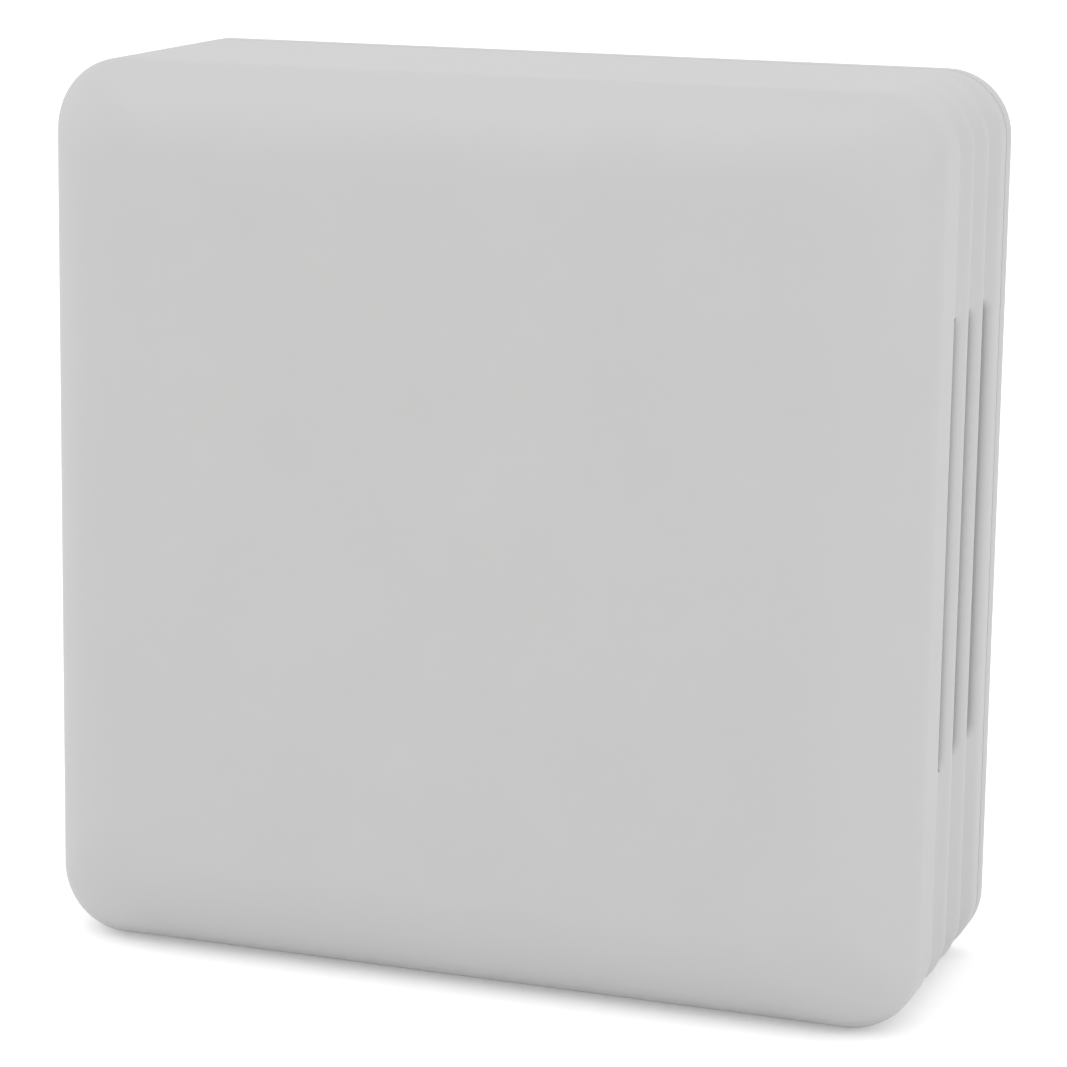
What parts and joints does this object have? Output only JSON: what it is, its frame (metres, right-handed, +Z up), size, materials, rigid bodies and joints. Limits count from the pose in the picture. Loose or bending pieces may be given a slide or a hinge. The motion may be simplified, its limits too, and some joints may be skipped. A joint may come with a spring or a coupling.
{
  "type": "wall-mounted room humidity sensor",
  "caption": "Square room humidity sensor with a soft-edged cover, side grooves and vent slots, base plate, circuit board, terminals and sensing element.",
  "frame": {"origin": "centre of the base plate's back face, on the wall plane", "axes": "+Z up, +X to the right as seen from the room, +Y into the wall, so the front faces -Y"},
  "size_m": [0.086, 0.0335, 0.086],
  "materials": {
    "case_plastic": "moulded light grey-white housing plastic with a fine spark-eroded texture",
    "board_laminate": "glass-fibre board under green solder mask",
    "terminal_plastic": "green moulded terminal plastic",
    "screw_steel": "zinc-plated steel",
    "tinned_metal": "tin-plated copper alloy",
    "gold_metal": "gold-flashed contact metal",
    "switch_plastic": "blue moulded plastic",
    "pale_plastic": "off-white moulded plastic",
    "black_plastic": "black moulding compound",
    "can_aluminium": "drawn aluminium can",
    "resistor_glaze": "black resistor glaze",
    "capacitor_ceramic": "sintered capacitor ceramic",
    "ferrite": "pressed ferrite",
    "lens_resin": "clear lens resin",
    "membrane_film": "porous white membrane",
    "bead_epoxy": "dipped black epoxy"
  },
  "bodies": {
    "base": {"amplifier_leads": "tinned_metal", "amplifiers": "black_plastic", "base_plate": "case_plastic", "board_screws": "screw_steel", "button_body": "black_plastic", "button_cover": "tinned_metal", "button_pins": "tinned_metal", "capacitor_bases": "black_plastic", "capacitor_cans": "can_aluminium", "chip_capacitors": "capacitor_ceramic", "chip_ends": "tinned_metal", "chip_resistors": "resistor_glaze", "circuit_board": "board_laminate", "diode_tabs": "tinned_metal", "element_pads": "gold_metal", "filter_cap": "pale_plastic", "filter_membrane": "membrane_film", "humidity_element": "black_plastic", "led_lens": "lens_resin", "lock_nut": "screw_steel", "microcontroller": "black_plastic", "microcontroller_leads": "tinned_metal", "power_inductor": "ferrite", "rectifier_diodes": "black_plastic", "regulator_leads": "tinned_metal", "sensor_board": "board_laminate", "sensor_header": "black_plastic", "sensor_header_pins": "gold_metal", "status_led": "pale_plastic", "switch_body": "switch_plastic", "switch_contacts": "tinned_metal", "terminal_contacts": "tinned_metal", "terminal_housing": "terminal_plastic", "thermistor": "bead_epoxy", "thermistor_leads": "tinned_metal", "trimmer_body": "switch_plastic", "trimmer_pins": "tinned_metal", "voltage_regulator": "black_plastic"},
    "cover": {"cover": "case_plastic"},
    "lock_screw": {"lock_screw": "screw_steel"},
    "trimmer_rotor": {"trimmer_rotor": "pale_plastic"},
    "button_plunger": {"button_plunger": "black_plastic"},
    "terminal_screw_1": {"terminal_screw_1": "screw_steel"},
    "terminal_cage_1": {"terminal_cage_1": "tinned_metal"},
    "terminal_screw_2": {"terminal_screw_2": "screw_steel"},
    "terminal_cage_2": {"terminal_cage_2": "tinned_metal"},
    "terminal_screw_3": {"terminal_screw_3": "screw_steel"},
    "terminal_cage_3": {"terminal_cage_3": "tinned_metal"},
    "terminal_screw_4": {"terminal_screw_4": "screw_steel"},
    "terminal_cage_4": {"terminal_cage_4": "tinned_metal"},
    "terminal_screw_5": {"terminal_screw_5": "screw_steel"},
    "terminal_cage_5": {"terminal_cage_5": "tinned_metal"},
    "terminal_screw_6": {"terminal_screw_6": "screw_steel"},
    "terminal_cage_6": {"terminal_cage_6": "tinned_metal"},
    "switch_lever_1": {"switch_lever_1": "pale_plastic"},
    "switch_lever_2": {"switch_lever_2": "pale_plastic"},
    "switch_lever_3": {"switch_lever_3": "pale_plastic"},
    "switch_lever_4": {"switch_lever_4": "pale_plastic"}
  },
  "joints": [
    {"name": "cover_pull", "type": "slide", "parent": "base", "child": "cover", "axis": [0, -1, 0], "range_m": [0, 0.045]},
    {"name": "lock_screw_drive", "type": "slide", "parent": "base", "child": "lock_screw", "axis": [0, 0, -1], "range_m": [0, 0.0022]},
    {"name": "terminal_screw_1_turn", "type": "hinge", "parent": "base", "child": "terminal_screw_1", "pos_m": [-0.0125, -0.02, 0.00425], "axis": [0, 1, 0], "continuous": true},
    {"name": "terminal_cage_1_rise", "type": "slide", "parent": "base", "child": "terminal_cage_1", "axis": [0, -1, 0], "range_m": [0, 0.002]},
    {"name": "terminal_screw_2_turn", "type": "hinge", "parent": "base", "child": "terminal_screw_2", "pos_m": [-0.0075, -0.02, 0.00425], "axis": [0, 1, 0], "continuous": true},
    {"name": "terminal_cage_2_rise", "type": "slide", "parent": "base", "child": "terminal_cage_2", "axis": [0, -1, 0], "range_m": [0, 0.002]},
    {"name": "terminal_screw_3_turn", "type": "hinge", "parent": "base", "child": "terminal_screw_3", "pos_m": [-0.0025, -0.02, 0.00425], "axis": [0, 1, 0], "continuous": true},
    {"name": "terminal_cage_3_rise", "type": "slide", "parent": "base", "child": "terminal_cage_3", "axis": [0, -1, 0], "range_m": [0, 0.002]},
    {"name": "terminal_screw_4_turn", "type": "hinge", "parent": "base", "child": "terminal_screw_4", "pos_m": [0.0025, -0.02, 0.00425], "axis": [0, 1, 0], "continuous": true},
    {"name": "terminal_cage_4_rise", "type": "slide", "parent": "base", "child": "terminal_cage_4", "axis": [0, -1, 0], "range_m": [0, 0.002]},
    {"name": "terminal_screw_5_turn", "type": "hinge", "parent": "base", "child": "terminal_screw_5", "pos_m": [0.0075, -0.02, 0.00425], "axis": [0, 1, 0], "continuous": true},
    {"name": "terminal_cage_5_rise", "type": "slide", "parent": "base", "child": "terminal_cage_5", "axis": [0, -1, 0], "range_m": [0, 0.002]},
    {"name": "terminal_screw_6_turn", "type": "hinge", "parent": "base", "child": "terminal_screw_6", "pos_m": [0.0125, -0.02, 0.00425], "axis": [0, 1, 0], "continuous": true},
    {"name": "terminal_cage_6_rise", "type": "slide", "parent": "base", "child": "terminal_cage_6", "axis": [0, -1, 0], "range_m": [0, 0.002]},
    {"name": "switch_lever_1_slide", "type": "slide", "parent": "base", "child": "switch_lever_1", "axis": [1, 0, 0], "range_m": [0, 0.0014]},
    {"name": "switch_lever_2_slide", "type": "slide", "parent": "base", "child": "switch_lever_2", "axis": [1, 0, 0], "range_m": [0, 0.0014]},
    {"name": "switch_lever_3_slide", "type": "slide", "parent": "base", "child": "switch_lever_3", "axis": [1, 0, 0], "range_m": [0, 0.0014]},
    {"name": "switch_lever_4_slide", "type": "slide", "parent": "base", "child": "switch_lever_4", "axis": [1, 0, 0], "range_m": [0, 0.0014]},
    {"name": "trimmer_turn", "type": "hinge", "parent": "base", "child": "trimmer_rotor", "pos_m": [-0.0125, -0.0142, -0.0255], "axis": [0, 1, 0], "range_deg": [-135, 135]},
    {"name": "button_press", "type": "slide", "parent": "base", "child": "button_plunger", "axis": [0, 1, 0], "range_m": [0, 0.00025], "stiffness_N_per_m": 400}
  ],
  "couplings": [
    {"joint": "terminal_screw_1_turn", "follows": "terminal_cage_1_rise", "rad_per_m": 12566},
    {"joint": "terminal_screw_2_turn", "follows": "terminal_cage_2_rise", "rad_per_m": 12566},
    {"joint": "terminal_screw_3_turn", "follows": "terminal_cage_3_rise", "rad_per_m": 12566},
    {"joint": "terminal_screw_4_turn", "follows": "terminal_cage_4_rise", "rad_per_m": 12566},
    {"joint": "terminal_screw_5_turn", "follows": "terminal_cage_5_rise", "rad_per_m": 12566},
    {"joint": "terminal_screw_6_turn", "follows": "terminal_cage_6_rise", "rad_per_m": 12566}
  ]
}
